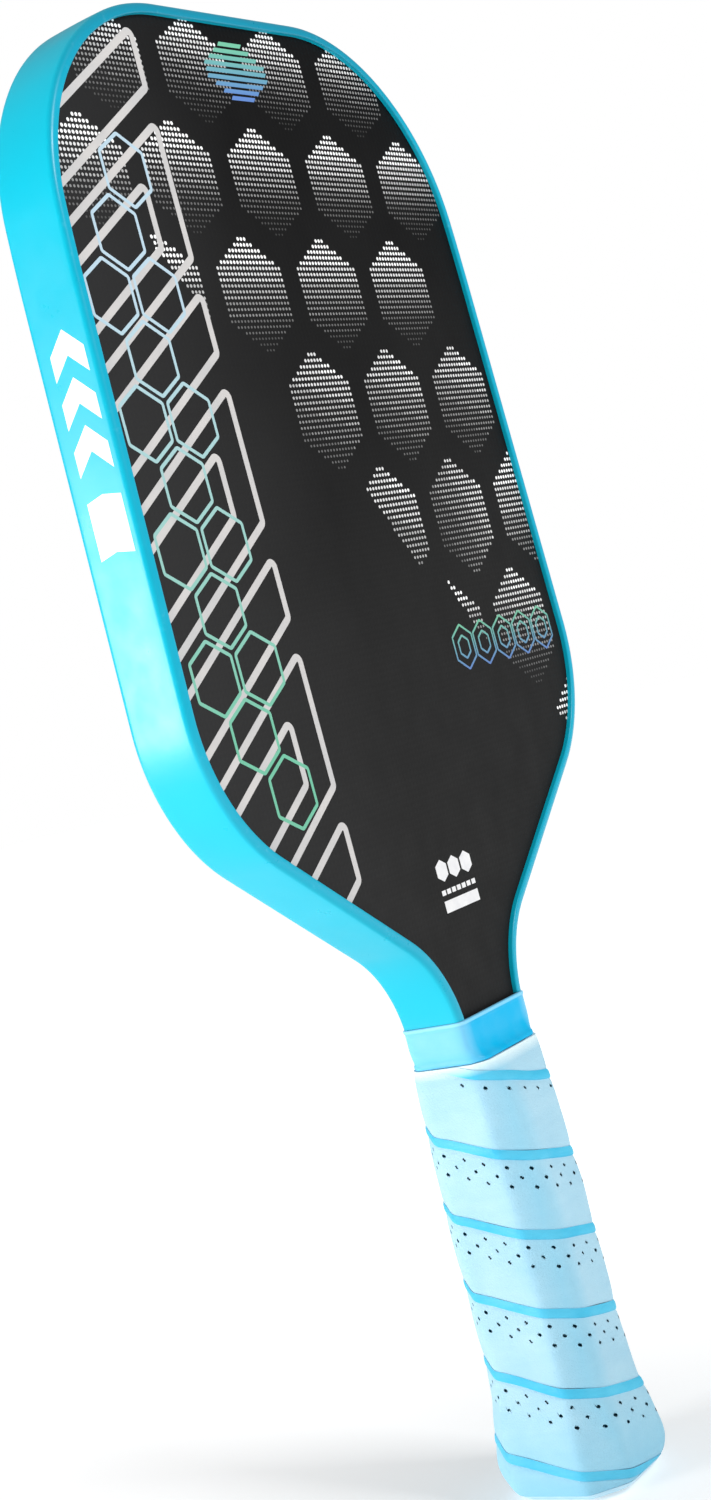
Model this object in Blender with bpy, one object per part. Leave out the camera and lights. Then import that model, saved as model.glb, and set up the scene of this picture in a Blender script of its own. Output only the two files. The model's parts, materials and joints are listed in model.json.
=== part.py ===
"""Pickleball paddle, as an assembly of separate pieces.

Frame: the paddle stands upright on its butt. The origin is the centre of the butt's flat end,
+Z runs from the handle to the head, +X is to the right seen from the front, and the front face
looks towards -Y. Sizes below are in millimetres and become metres where vertices are made.
"""

import math

import bmesh
import bpy

MM = 0.001
CUTTER_OVERSHOOT = 1.0  # how far a cutter passes the surface it cuts

# Head outline, outer side of the edge guard, right half: corner points of a polygon (x, z) and
# the radius that rounds each of them. The last corner curves the other way, into the neck.
HEAD_TOP = 419.0
NECK_HALF_WIDTH = 17.35
NECK_END = 128.7
OUTLINE_CORNERS = (
    (87.8, HEAD_TOP, 60.3),
    (91.9, 351.0, 303.0),
    (96.0, 208.3, 50.9),
    (NECK_HALF_WIDTH, 149.7, 33.6),
)
ARC_STEP = math.radians(8.0)

# Sandwich through the head, as distances from the middle plane
CORE_HALF = 7.2
FILM_SPAN = (7.25, 7.45)
SHEET_SPAN = (7.5, 8.1)
SANDWICH_INSET = 1.65
FOAM_WIDTH = 5.0
FOAM_GAP = 0.2
CELL_PITCH = 18.0
CELL_WALL = 1.0

# Edge guard and the tape under it
GUARD_HALF = 9.7
GUARD_WALL = 1.2
GUARD_LIP = 3.15
GUARD_LIP_CHAMFER = 0.3
GUARD_EDGE_RADIUS = 1.75
GUARD_EDGE_STEPS = 3
GUARD_SEAT = 8.2
GUARD_END = 137.0
TAIL_STEP = 0.75
TAIL_HIDDEN = 0.05
TAIL_TOP = 140.0
TAIL_BOTTOM = 129.2
BOND_TAPE_INSET = (1.3, 1.5)
BOND_TAPE_HALF = 6.5
BOND_TAPE_END = 138.0

# Handle body: the tongue of the sandwich with a pallet on each side, an octagon in section.
# Each station is a height, the half depth and the bevel.
TONGUE_HALF_WIDTH = 14.0
TONGUE_END = 4.5
TONGUE_FOAM_WIDTH = 3.0
PALLET_TOP = 127.5
PALLET_FACE = 8.2
BODY_STATIONS = (
    (0.0, 15.75, 6.5),
    (80.0, 15.75, 6.5),
    (95.0, 15.1, 6.5),
    (105.0, 14.5, 6.1),
    (112.0, 13.7, 5.4),
    (118.0, 12.3, 4.1),
    (124.0, 10.5, 2.3),
    (PALLET_TOP, 9.3, 1.1),
)
BEVEL_SHARE = 2.0 - math.sqrt(2.0)  # how much a bevel grows when its octagon grows by one

# Swelling of the butt over the straight handle: height and how far the surface stands out
FLARE = (
    (0.0, -3.2),
    (1.2, -0.4),
    (3.0, 1.7),
    (5.0, 2.9),
    (8.0, 3.7),
    (11.0, 3.7),
    (15.0, 3.1),
    (20.0, 2.4),
    (24.0, 1.6),
    (28.0, 0.8),
    (40.0, 0.0),
)

# Layers over the handle body, as distances out from it
HANDLE_TAPE = (0.15, 0.45)
GRIP = (0.75, 2.5)
FINISHING_TAPE = (0.6, 0.8)
COLLAR_FIT = 1.1
HANDLE_TAPE_SPAN = (24.5, 127.0)
FINISHING_SPAN = (124.9, 127.2)
GRIP_SPAN = (3.3, 124.2)

# Grip: one strip wound down the handle, turning from the left side to the front as it goes
WRAP_PITCH = 22.45
WRAP_GAP = 0.3
WRAP_TILT = 2.0
WRAP_FACING = math.radians(215.5)
WRAP_SEAM_AT_FACING = 98.5
WRAP_ROWS = 6
WRAP_PLACES = 16  # round one turn: the octagon's corners and mid sides
WRAP_END_WIDTH = 2.0

# Rubber collar between grip and head
COLLAR_SPAN = (124.6, 136.6)
COLLAR_WALL = 0.85
COLLAR_RIM = 0.3
COLLAR_RIM_HEIGHT = 1.2
COLLAR_NECK = (16.85, 9.25, 0.9)
COLLAR_SHOULDER = 129.0

# Butt cap, its badge and its staples
CAP_TOP = 24.0
CAP_LEDGE = 3.0
CAP_UNDER_GRIP = 0.5
CAP_POCKET = 0.3
CAP_POCKET_FLOOR = 3.9
BADGE_RADIUS = 9.0
BADGE_THICKNESS = 0.8
BADGE_GAP = 0.3
DISC_SIDES = 32
STAPLE_HEIGHT = 14.0
STAPLE_HALF_WIDTH = 5.0
STAPLE_WIRE = (0.6, 1.2)
STAPLE_CROWN = 19.2
STAPLE_TIP = 13.0
STAPLE_GAP = 0.3
STAPLE_SLOT_OVER_CROWN = 3.0


# ---------------------------------------------------------------- meshes


def clear_scene():
    for obj in list(bpy.data.objects):
        bpy.data.objects.remove(obj, do_unlink=True)


def make_object(name, bm, material=None):
    """Gives a bmesh, in millimetres, an object in metres with faces pointing out."""
    bmesh.ops.recalc_face_normals(bm, faces=bm.faces)
    bmesh.ops.scale(bm, vec=(MM, MM, MM), verts=bm.verts)
    mesh = bpy.data.meshes.new(name)
    bm.to_mesh(mesh)
    bm.free()
    obj = bpy.data.objects.new(name, mesh)
    bpy.context.scene.collection.objects.link(obj)
    if material:
        mesh.materials.append(material)
    return obj


def rings_mesh(rings, tube):
    """Joins rings of points into one skin. A tube closes on itself; otherwise the ends are capped."""
    bm = bmesh.new()
    loops = [[bm.verts.new(point) for point in ring] for ring in rings]
    pairs = list(zip(loops, loops[1:]))
    if tube:
        pairs.append((loops[-1], loops[0]))
    else:
        bm.faces.new(loops[0])
        bm.faces.new(loops[-1])
    for low, high in pairs:
        for i in range(len(low)):
            j = (i + 1) % len(low)
            bm.faces.new((low[i], low[j], high[j], high[i]))
    return bm


def slab_mesh(outline, y_low, y_high):
    """A flat plate: an outline of (x, z) points between two planes."""
    return rings_mesh([[(x, y, z) for x, z in outline] for y in (y_low, y_high)], tube=False)


def material(name, colour, roughness, metallic=0.0):
    made = bpy.data.materials.new(name)
    made.use_nodes = True
    shader = made.node_tree.nodes["Principled BSDF"]
    shader.inputs["Base Color"].default_value = (*colour, 1.0)
    shader.inputs["Roughness"].default_value = roughness
    shader.inputs["Metallic"].default_value = metallic
    return made


def cut(obj, cutter, operation="DIFFERENCE"):
    """Adds a Boolean and hides its cutter."""
    modifier = obj.modifiers.new(cutter.name, "BOOLEAN")
    modifier.operation = operation
    modifier.object = cutter
    modifier.solver = "EXACT"
    cutter.hide_render = True
    cutter.display_type = "WIRE"


def smooth(obj, angle=35.0):
    obj.data.shade_smooth()
    obj.data.set_sharp_from_angle(angle=math.radians(angle))


# ---------------------------------------------------------------- head outline


def corner_arcs():
    """For each corner: centre, radius (negative where it curves inwards), start and end angle."""
    path = [(0.0, HEAD_TOP)] + [(x, z) for x, z, _ in OUTLINE_CORNERS] + [(NECK_HALF_WIDTH, 0.0)]
    arcs = []
    for before, corner, after, (_, _, radius) in zip(path, path[1:], path[2:], OUTLINE_CORNERS):
        heading_in = math.atan2(corner[1] - before[1], corner[0] - before[0])
        heading_out = math.atan2(after[1] - corner[1], after[0] - corner[0])
        turn = (heading_out - heading_in + math.pi) % (2 * math.pi) - math.pi
        side = -1.0 if turn < 0 else 1.0
        reach = radius * math.tan(abs(turn) / 2)
        start_x = corner[0] - reach * math.cos(heading_in)
        start_z = corner[1] - reach * math.sin(heading_in)
        centre = (
            start_x - side * radius * math.sin(heading_in),
            start_z + side * radius * math.cos(heading_in),
        )
        first = heading_in - side * math.pi / 2
        arcs.append((centre, -side * radius, first, first + turn))
    return arcs


def half_outline(inset):
    """Right half of the head outline moved in by inset, from the top centre to the neck."""
    points = [(0.0, HEAD_TOP - inset)]
    for centre, radius, first, last in corner_arcs():
        steps = max(1, round(abs(last - first) / ARC_STEP))
        reach = abs(radius - inset)
        for i in range(steps + 1):
            angle = first + (last - first) * i / steps
            points.append((centre[0] + reach * math.cos(angle), centre[1] + reach * math.sin(angle)))
    points.append((NECK_HALF_WIDTH - inset, NECK_END))
    return points


def both_sides(half):
    """Mirrors a right half that starts on the middle line, giving one path from left to right."""
    left = [(-x, z) for x, z in reversed(half[1:])]
    return left + half


def sandwich_outline(inset, tongue_half_width, end):
    """Closed outline of a sheet: the head, and the tongue that runs down into the handle."""
    half = half_outline(inset)
    half += [(tongue_half_width, NECK_END), (tongue_half_width, end)]
    return both_sides(half)


def foam_outline():
    """Closed outline of the strip round the core, open at the tongue's end."""
    outer = sandwich_outline(SANDWICH_INSET, TONGUE_HALF_WIDTH, TONGUE_END)
    inner = core_outline(-FOAM_GAP)
    return outer + list(reversed(inner))


def core_outline(inset):
    """Closed outline of the core inside the foam strip."""
    half_width = TONGUE_HALF_WIDTH - TONGUE_FOAM_WIDTH - inset
    half = half_outline(SANDWICH_INSET + FOAM_WIDTH + inset)[:-1]
    half += [(half_width, half[-1][1]), (half_width, TONGUE_END)]
    return both_sides(half)


# ---------------------------------------------------------------- head pieces


def add_sheet(name, span, side, finish):
    """A sheet of the sandwich, with its tongue."""
    outline = sandwich_outline(SANDWICH_INSET, TONGUE_HALF_WIDTH, TONGUE_END)
    return make_object(name, slab_mesh(outline, side * span[0], side * span[1]), finish)


def distance_to_path(x, z, path):
    """Distance from a point to a closed path."""
    best = math.inf
    for (ax, az), (bx, bz) in zip(path, path[1:] + path[:1]):
        length = (bx - ax) ** 2 + (bz - az) ** 2
        share = ((x - ax) * (bx - ax) + (z - az) * (bz - az)) / length if length else 0.0
        share = min(1.0, max(0.0, share))
        best = min(best, math.hypot(ax + share * (bx - ax) - x, az + share * (bz - az) - z))
    return best


def inside_path(x, z, path):
    crossings = 0
    for (ax, az), (bx, bz) in zip(path, path[1:] + path[:1]):
        if (az > z) != (bz > z) and x < ax + (z - az) * (bx - ax) / (bz - az):
            crossings += 1
    return crossings % 2 == 1


def cell_centres(outline, reach):
    """Centres of the honeycomb cells that fit inside the outline."""
    row_height = CELL_PITCH * math.sqrt(3) / 2
    rows = int(HEAD_TOP / row_height) + 1
    columns = int(max(x for x, _ in outline) / CELL_PITCH) + 1
    for row in range(rows):
        shift = CELL_PITCH / 2 if row % 2 else 0.0
        for column in range(-columns, columns + 1):
            x, z = column * CELL_PITCH + shift, TONGUE_END + row * row_height
            if inside_path(x, z, outline) and distance_to_path(x, z, outline) > reach:
                yield x, z


def add_core(finish):
    outline = core_outline(0.0)
    core = make_object("honeycomb_core", slab_mesh(outline, -CORE_HALF, CORE_HALF), finish)
    cell_radius = (CELL_PITCH - CELL_WALL) / math.sqrt(3)
    bm = bmesh.new()
    for x, z in cell_centres(outline, cell_radius + CELL_WALL):
        rings = []
        for y in (-CORE_HALF - CUTTER_OVERSHOOT, CORE_HALF + CUTTER_OVERSHOOT):
            angles = [math.radians(60 * i) for i in range(6)]
            ring = [(x + cell_radius * math.sin(a), y, z + cell_radius * math.cos(a)) for a in angles]
            rings.append([bm.verts.new(point) for point in ring])
        bm.faces.new(rings[0])
        bm.faces.new(rings[1])
        for i in range(6):
            j = (i + 1) % 6
            bm.faces.new((rings[0][i], rings[0][j], rings[1][j], rings[1][i]))
    cut(core, make_object("core_cells", bm))


def add_foam(finish):
    make_object("perimeter_foam", slab_mesh(foam_outline(), -CORE_HALF, CORE_HALF), finish)


def add_bond_tape(finish):
    """Thin tape round the sandwich's edge that holds the guard."""
    paths = [[p for p in half_outline(inset) if p[1] > BOND_TAPE_END] for inset in BOND_TAPE_INSET]
    outer, inner = (both_sides(path) for path in paths)
    strip = slab_mesh(outer + list(reversed(inner)), -BOND_TAPE_HALF, BOND_TAPE_HALF)
    make_object("guard_bond_tape", strip, finish)


def guard_section(step, hidden):
    """Section of the U channel as (inset, y). step thins its outside, hidden thins its inside."""
    half, seat = GUARD_HALF - step, GUARD_SEAT + hidden
    wall, lip = GUARD_WALL - hidden, GUARD_LIP - hidden
    radius = GUARD_EDGE_RADIUS - step
    section = [
        (wall, 0.0),
        (wall, seat),
        (lip, seat),
        (lip, half - GUARD_LIP_CHAMFER),
        (lip - GUARD_LIP_CHAMFER, half),
    ]
    for i in range(GUARD_EDGE_STEPS + 1):
        angle = math.pi / 2 * i / GUARD_EDGE_STEPS
        inset = step + radius * (1 - math.sin(angle))
        section.append((inset, half - radius * (1 - math.cos(angle))))
    return section + [(inset, -y) for inset, y in reversed(section[1:])]


def guard_mesh(step, hidden):
    """The channel swept round the head: each point of its section follows its own outline."""
    lines = []
    for inset, y in guard_section(step, hidden):
        lines.append([(x, y, z) for x, z in both_sides(half_outline(inset))])
    return rings_mesh(list(zip(*lines)), tube=False)


def trim(bm, height, keep_above):
    """Cuts a mesh flat at a height and closes the cut."""
    everything = bm.verts[:] + bm.edges[:] + bm.faces[:]
    result = bmesh.ops.bisect_plane(
        bm,
        geom=everything,
        plane_co=(0, 0, height),
        plane_no=(0, 0, 1),
        clear_outer=not keep_above,
        clear_inner=keep_above,
    )
    rim = [item for item in result["geom_cut"] if isinstance(item, bmesh.types.BMEdge)]
    bmesh.ops.holes_fill(bm, edges=rim)


def add_guard(finish):
    body = guard_mesh(0.0, 0.0)
    trim(body, GUARD_END, keep_above=True)
    guard = make_object("edge_guard", body, finish)

    tail = guard_mesh(TAIL_STEP, TAIL_HIDDEN)
    trim(tail, TAIL_BOTTOM, keep_above=True)
    trim(tail, TAIL_TOP, keep_above=False)
    cut(guard, make_object("guard_tails", tail), "UNION")
    return guard


# ---------------------------------------------------------------- handle


def interpolate(table, z, column):
    if z <= table[0][0]:
        return table[0][column]
    for low, high in zip(table, table[1:]):
        if z <= high[0]:
            share = (z - low[0]) / (high[0] - low[0])
            return low[column] + share * (high[column] - low[column])
    return table[-1][column]


def octagon(half_width, half_depth, bevel):
    """Corners of a bevelled rectangle, anticlockwise seen from above."""
    x, y = half_width - bevel, half_depth - bevel
    right = [(x, -half_depth), (half_width, -y), (half_width, y), (x, half_depth)]
    return right + [(-px, -py) for px, py in right]


def body_section(z, offset):
    """The handle body's octagon at a height, moved out by offset."""
    return octagon(
        TONGUE_HALF_WIDTH + offset,
        interpolate(BODY_STATIONS, z, 1) + offset,
        interpolate(BODY_STATIONS, z, 2) + BEVEL_SHARE * offset,
    )


def flare(z):
    return interpolate(FLARE, z, 1)


def heights(low, high):
    """Every height between two where the handle's shape changes, with the two ends."""
    inner = {station[0] for station in BODY_STATIONS + FLARE if low < station[0] < high}
    return [low] + sorted(inner) + [high]


def ring_at(z, outline):
    return [(x, y, z) for x, y in outline]


def add_pallet(name, side, finish):
    rings = []
    for z in heights(TONGUE_END, PALLET_TOP):
        half_depth, bevel = interpolate(BODY_STATIONS, z, 1), interpolate(BODY_STATIONS, z, 2)
        flat, shoulder = TONGUE_HALF_WIDTH - bevel, half_depth - bevel
        half = [(TONGUE_HALF_WIDTH, PALLET_FACE), (TONGUE_HALF_WIDTH, shoulder), (flat, half_depth)]
        outline = half + [(-x, y) for x, y in reversed(half)]
        rings.append([(x, side * y, z) for x, y in outline])
    return make_object(name, rings_mesh(rings, tube=False), finish)


def add_sleeve(name, span, layer, finish):
    """A thin layer round the handle body."""
    levels = heights(*span)
    outer = [ring_at(z, body_section(z, layer[1])) for z in levels]
    inner = [ring_at(z, body_section(z, layer[0])) for z in reversed(levels)]
    return make_object(name, rings_mesh(outer + inner, tube=True), finish)


def wrap_seam(angle):
    """Height of the seam between two turns at an angle round the handle."""
    turned = angle - WRAP_FACING
    return WRAP_SEAM_AT_FACING - WRAP_PITCH * turned / (2 * math.pi) - WRAP_TILT * math.sin(turned)


def wrap_point(index, z, offset):
    """Point on the wrap at one of its places round the handle."""
    corners = body_section(z, offset + flare(z))
    ax, ay = corners[index // 2 % 8]
    if index % 2 == 0:
        return ax, ay, z
    bx, by = corners[(index // 2 + 1) % 8]
    return (ax + bx) / 2, (ay + by) / 2, z


def wrap_angle(index):
    """Angle round the handle of a place on the wrap, counted on from turn to turn."""
    middle = sum(GRIP_SPAN) / 2
    places = (wrap_point(i, middle, 0.0) for i in (0, index % WRAP_PLACES))
    start, here = (math.atan2(y, x) for x, y, _ in places)
    return start + (here - start) % (2 * math.pi) + 2 * math.pi * (index // WRAP_PLACES)


def add_grip(finish):
    """One strip from under the collar down to the butt. It narrows to its ends at top and bottom."""
    low, high = GRIP_SPAN
    reach = WRAP_PLACES * math.ceil((high - low) / WRAP_PITCH + 2)
    rings = []
    for index in range(-reach, reach):
        seam = wrap_seam(wrap_angle(index))
        top = min(high, seam - WRAP_GAP / 2)
        bottom = max(low, seam - WRAP_PITCH + WRAP_GAP / 2)
        if top - bottom < WRAP_END_WIDTH:
            continue
        levels = [bottom + (top - bottom) * i / WRAP_ROWS for i in range(WRAP_ROWS + 1)]
        outer = [wrap_point(index, z, GRIP[1]) for z in levels]
        inner = [wrap_point(index, z, GRIP[0]) for z in reversed(levels)]
        rings.append(outer + inner)
    return make_object("grip_wrap", rings_mesh(rings, tube=False), finish)


def collar_section(z, offset):
    """The collar's octagon: round the handle body below the shoulder, round the neck above it."""
    if z >= COLLAR_SHOULDER:
        half_width, half_depth, bevel = COLLAR_NECK
        return octagon(half_width + offset, half_depth + offset, bevel + BEVEL_SHARE * offset)
    return body_section(z, COLLAR_FIT + offset)


def add_collar(finish):
    low, high = COLLAR_SPAN
    rim = COLLAR_WALL + COLLAR_RIM
    outer_levels = (
        (low, rim),
        (low + COLLAR_RIM_HEIGHT, rim),
        (low + COLLAR_RIM_HEIGHT, COLLAR_WALL),
        (PALLET_TOP, COLLAR_WALL),
        (COLLAR_SHOULDER, COLLAR_WALL),
        (high - COLLAR_RIM_HEIGHT, COLLAR_WALL),
        (high - COLLAR_RIM_HEIGHT, rim),
        (high, rim),
    )
    outer = [ring_at(z, collar_section(z, offset)) for z, offset in outer_levels]
    inner = [ring_at(z, collar_section(z, 0.0)) for z in (high, COLLAR_SHOULDER, PALLET_TOP, low)]
    return make_object("grip_collar", rings_mesh(outer + inner, tube=True), finish)


# ---------------------------------------------------------------- butt


def staple_outline(gap, crown):
    """U shape of a staple seen from above, as (x, distance from the middle plane)."""
    wire = STAPLE_WIRE[0]
    out, leg = STAPLE_HALF_WIDTH + gap, STAPLE_HALF_WIDTH - wire - gap
    tip, bridge = STAPLE_TIP - gap, STAPLE_CROWN - wire - gap
    right = [(out, crown), (out, tip), (leg, tip), (leg, bridge)]
    return right + [(-x, y) for x, y in reversed(right)]


def staple_mesh(side, gap, crown):
    half_height = STAPLE_WIRE[1] / 2 + gap
    outline = staple_outline(gap, crown)
    levels = (STAPLE_HEIGHT - half_height, STAPLE_HEIGHT + half_height)
    return rings_mesh([[(x, side * y, z) for x, y in outline] for z in levels], tube=False)


def add_butt_cap(finish):
    outer = []
    for z in heights(0.0, CAP_LEDGE):
        outer.append(ring_at(z, body_section(z, GRIP[1] + flare(z))))
    for z in heights(CAP_LEDGE, CAP_TOP):
        outer.append(ring_at(z, body_section(z, GRIP[0] - CAP_UNDER_GRIP + flare(z))))
    cap = make_object("butt_cap", rings_mesh(outer, tube=False), finish)
    pocket_levels = (CAP_POCKET_FLOOR, CAP_TOP + CUTTER_OVERSHOOT)
    pocket = [ring_at(z, body_section(z, CAP_POCKET)) for z in pocket_levels]
    cut(cap, make_object("cap_pocket", rings_mesh(pocket, tube=False)))
    recess = disc_mesh(BADGE_RADIUS + BADGE_GAP, -CUTTER_OVERSHOOT, BADGE_THICKNESS + BADGE_GAP)
    cut(cap, make_object("badge_recess", recess))
    return cap


def disc_mesh(radius, low, high):
    bm = bmesh.new()
    bmesh.ops.create_cone(
        bm, cap_ends=True, segments=DISC_SIDES, radius1=radius, radius2=radius, depth=high - low
    )
    bmesh.ops.translate(bm, vec=(0, 0, (low + high) / 2), verts=bm.verts)
    return bm


def add_staple(name, side, cap, pallet, finish):
    make_object(name, staple_mesh(side, 0.0, STAPLE_CROWN), finish)
    slot_crown = STAPLE_CROWN + STAPLE_SLOT_OVER_CROWN
    slot = make_object(name + "_slot", staple_mesh(side, STAPLE_GAP, slot_crown))
    cut(cap, slot)
    cut(pallet, slot)


# ---------------------------------------------------------------- assembly


def build():
    clear_scene()
    carbon = material("carbon_face", (0.022, 0.022, 0.024), 0.55)
    film = material("bond_film", (0.80, 0.78, 0.70), 0.6)
    honeycomb = material("honeycomb_plastic", (0.85, 0.87, 0.88), 0.5)
    foam = material("edge_foam", (0.75, 0.74, 0.70), 0.9)
    tape = material("tape", (0.55, 0.52, 0.45), 0.7)
    guard_finish = material("guard_cyan", (0.0, 0.60, 0.82), 0.4)
    pallet_finish = material("pallet_foam", (0.10, 0.10, 0.11), 0.8)
    cap_finish = material("cap_plastic", (0.30, 0.72, 0.86), 0.45)
    steel = material("staple_steel", (0.62, 0.63, 0.65), 0.3, 1.0)
    grip_finish = material("grip_pale_blue", (0.50, 0.80, 0.90), 0.6)
    collar_finish = material("collar_rubber", (0.02, 0.45, 0.90), 0.5)

    add_core(honeycomb)
    add_foam(foam)
    add_sheet("front_bond_film", FILM_SPAN, -1, film)
    add_sheet("rear_bond_film", FILM_SPAN, 1, film)
    add_sheet("front_face_sheet", SHEET_SPAN, -1, carbon)
    add_sheet("rear_face_sheet", SHEET_SPAN, 1, carbon)
    add_bond_tape(tape)
    smooth(add_guard(guard_finish))

    front_pallet = add_pallet("front_handle_pallet", -1, pallet_finish)
    rear_pallet = add_pallet("rear_handle_pallet", 1, pallet_finish)
    add_sleeve("handle_tape", HANDLE_TAPE_SPAN, HANDLE_TAPE, tape)
    cap = add_butt_cap(cap_finish)
    smooth(make_object("butt_cap_badge", disc_mesh(BADGE_RADIUS, 0.0, BADGE_THICKNESS), cap_finish))
    add_staple("front_cap_staple", -1, cap, front_pallet, steel)
    add_staple("rear_cap_staple", 1, cap, rear_pallet, steel)
    add_grip(grip_finish)
    add_sleeve("finishing_tape", FINISHING_SPAN, FINISHING_TAPE, tape)
    smooth(add_collar(collar_finish))


build()
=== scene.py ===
"""Looks of the pickleball paddle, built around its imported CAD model.

The frame is the CAD's: the butt's flat end is at the origin, +Z runs up to the head, +X is to the
right seen from the front, and the front face looks towards -Y. Sizes are in millimetres and become
metres where vertices are made; lights and the camera are placed in metres.
"""

import json
import math

import bmesh
import bpy
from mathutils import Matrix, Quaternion, Vector, noise

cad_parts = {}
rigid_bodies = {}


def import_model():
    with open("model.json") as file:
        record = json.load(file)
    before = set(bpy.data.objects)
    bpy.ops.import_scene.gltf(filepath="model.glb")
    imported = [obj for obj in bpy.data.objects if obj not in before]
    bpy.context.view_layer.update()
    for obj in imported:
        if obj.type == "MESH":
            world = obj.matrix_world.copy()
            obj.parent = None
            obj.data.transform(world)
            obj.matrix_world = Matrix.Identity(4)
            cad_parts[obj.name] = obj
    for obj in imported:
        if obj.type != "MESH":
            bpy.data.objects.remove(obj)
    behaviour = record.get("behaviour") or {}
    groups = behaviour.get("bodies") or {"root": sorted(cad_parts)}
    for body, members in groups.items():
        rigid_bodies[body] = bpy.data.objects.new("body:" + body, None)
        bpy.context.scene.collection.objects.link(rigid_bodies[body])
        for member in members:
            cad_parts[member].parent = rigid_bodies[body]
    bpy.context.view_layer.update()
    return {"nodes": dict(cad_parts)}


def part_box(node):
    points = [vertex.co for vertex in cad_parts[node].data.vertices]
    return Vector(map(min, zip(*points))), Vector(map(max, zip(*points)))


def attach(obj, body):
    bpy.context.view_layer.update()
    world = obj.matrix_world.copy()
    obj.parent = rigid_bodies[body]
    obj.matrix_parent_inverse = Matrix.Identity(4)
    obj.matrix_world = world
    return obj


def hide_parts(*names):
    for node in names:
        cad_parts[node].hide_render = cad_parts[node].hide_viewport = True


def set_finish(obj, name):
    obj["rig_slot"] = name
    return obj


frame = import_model()

MM = 0.001


def reach_of(node, axis):
    """Lowest and highest coordinate of a CAD node along an axis, in millimetres."""
    low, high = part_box(node)
    return low[axis] / MM, high[axis] / MM


# ---------------------------------------------------------------- sizes

# Head outline, outer side of the guard, right half: polygon corners (x, z) and their radii. The
# last corner curves the other way, into the neck.
HEAD_TOP = reach_of("edge_guard", 2)[1]
NECK_HALF_WIDTH = 17.35
OUTLINE_CORNERS = (
    (87.8, HEAD_TOP, 60.3),
    (91.9, 351.0, 303.0),
    (96.0, 208.3, 50.9),
    (NECK_HALF_WIDTH, 149.7, 33.6),
)
NECK_END = 128.7
OUTLINE_STEP = math.radians(2.0)

# Edge guard, a U channel
GUARD_HALF = reach_of("edge_guard", 1)[1]
GUARD_WALL = 1.2
GUARD_LIP = 3.15
GUARD_SEAT = 8.2
GUARD_RADIUS = 1.75
GUARD_LIP_RADIUS = 0.45
GUARD_CROWN = 0.12
GUARD_END = 136.7

# Faces and the layers of ink on them, as heights over the face
FACE = reach_of("rear_face_sheet", 1)[1]
INK_ROOT = -0.01
DOT_INK = 0.02
SILVER_INK = 0.035
LINE_INK = 0.05
MARK_INK = 0.06
SILVER_WIDTH = 2.1
SILVER_RIGHT = -42.5
LINE_WIDTH = 1.0
UNDER_LIP = 2.0
# Silver slashes: where each one's right end starts and stops, and how steeply they all fall leftwards
SLASH_SPANS = (
    (411.5, 395.5),
    (386.0, 350.0),
    (340.5, 324.5),
    (315.0, 279.0),
    (269.5, 253.5),
    (244.0, 208.0),
    (198.5, 182.5),
)
SLASH_SLOPE = 0.62
SLASH_MARGIN = 9.5
SLASH_INSET = 11.3
# Thin hexagons in staggered rows: half size, their middles in even and odd rows, and the rows' heights
HEXAGON_SIZE = (8.4, 9.7)
HEXAGON_COLUMNS = ((-69.3,), (-78.7, -59.9))
HEXAGON_TOP = 389.0
HEXAGON_STEP = 16.3
HEXAGON_ROWS = 12
# Emblem of level bars near the top, and the row of nested hexagons at the lower right
EMBLEM_MIDDLE = 403.0
EMBLEM_PITCH = 1.9
EMBLEM_BARS = 9
EMBLEM_HALF_WIDTH = 13.5
EMBLEM_TAPER = 2.8
EMBLEM_BAR_HALF = 0.6
EMBLEM_SKEW = 0.5
SIDE_MARK_LEFT = 37.0
SIDE_MARK_PITCH = 11.4
SIDE_MARK_COUNT = 5
SIDE_MARK_HEIGHT = 234.8
SIDE_MARK_SIZES = ((5.2, 6.6), (2.7, 3.4))
# Seal above the neck: its hexagons, dashes and bar
SEAL_COLUMNS = (-4.3, 2.0, 8.3)
SEAL_HEXAGON = (176.6, 2.7, 3.1)
SEAL_LEFT, SEAL_RIGHT = -7.0, 10.5
SEAL_DASHES = 7
SEAL_DASH_PITCH = 2.6
SEAL_DASH_WIDTH = 1.9
SEAL_DASH_SPAN = (169.9, 171.3)
SEAL_BAR_SPAN = (165.0, 168.3)
# Mark on the guard's side: its reach in y, and each figure's lower and upper edge and how far its
# middle rises
GUARD_MARK_SPAN = (-6.8, 4.4)
GUARD_MARK_STEPS = 8
GUARD_MARK_FIGURES = ((322.0, 328.5, 5.5), (310.0, 316.5, 5.5), (298.0, 304.5, 5.5), (277.0, 291.5, 1.2))
MARK_WIDTH = 0.65
INK_STEP = math.radians(15.0)

# Halftone: hexagonal cells of dots, point up, in rows that are wider apart lower down
CELL_PITCH = 36.6
CELL_ROW_TOP = 416.0
CELL_ROW_STEP = 28.8
CELL_ROW_GROWTH = 0.72
EVEN_ROW_CENTRE = 18.0
ODD_ROW_CENTRE = -0.3
DOTS_ACROSS = 20
DOT_ROWS = 20
POINT_ROWS = (3, 6, 10, 13, 17)
DOT_PITCH = 1.45
DOT_RADIUS = (0.54, 0.3)
DOT_SIDES = 8
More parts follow.
